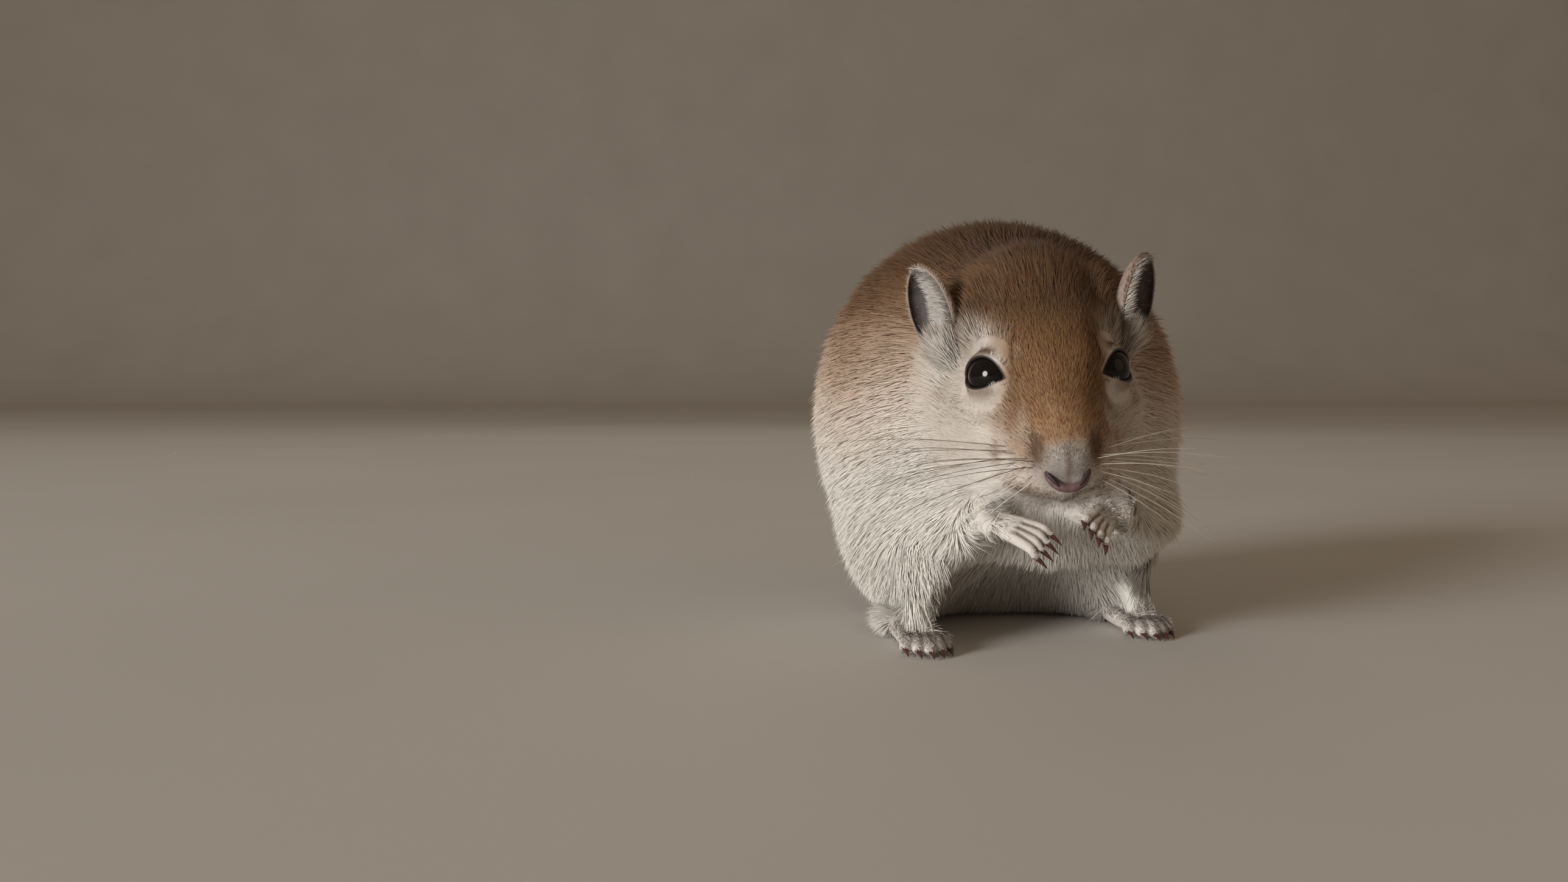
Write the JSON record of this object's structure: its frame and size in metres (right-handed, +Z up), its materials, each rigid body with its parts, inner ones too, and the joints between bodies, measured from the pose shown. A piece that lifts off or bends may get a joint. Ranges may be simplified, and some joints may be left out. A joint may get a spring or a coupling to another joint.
{
  "type": "gerbil figure",
  "caption": "Life-size still figure of a plump gerbil that sits hunched on its haunches, forepaws held under the chin and its tail laid out behind.",
  "frame": {"origin": "centre of the flat on which the rump rests on the floor", "axes": "+Z up, +Y towards the tail, +X to the animal's left; the animal faces -Y with its head turned a little towards -X"},
  "size_m": [0.0646, 0.1769, 0.0679],
  "materials": {
    "coat": "golden-buff fur",
    "pale_coat": "cream-white fur",
    "dark_coat": "dark brown longer hair",
    "ear_skin": "thin grey skin with fine pale hair",
    "paw_skin": "short white hair on pale skin, with dark claws",
    "eye": "wet black"
  },
  "bodies": {
    "root": {"torso": "coat", "head": "coat", "eye_right": "eye", "eye_left": "eye", "ear_right": "ear_skin", "ear_left": "ear_skin", "forearm_right": "pale_coat", "forearm_left": "pale_coat", "hand_right": "paw_skin", "hand_left": "paw_skin", "haunch_right": "pale_coat", "haunch_left": "pale_coat", "shin_right": "pale_coat", "shin_left": "pale_coat", "hind_foot_right": "paw_skin", "hind_foot_left": "paw_skin", "tail_root": "coat", "tail_middle": "coat", "tail_brush": "dark_coat"}
  },
  "joints": []
}
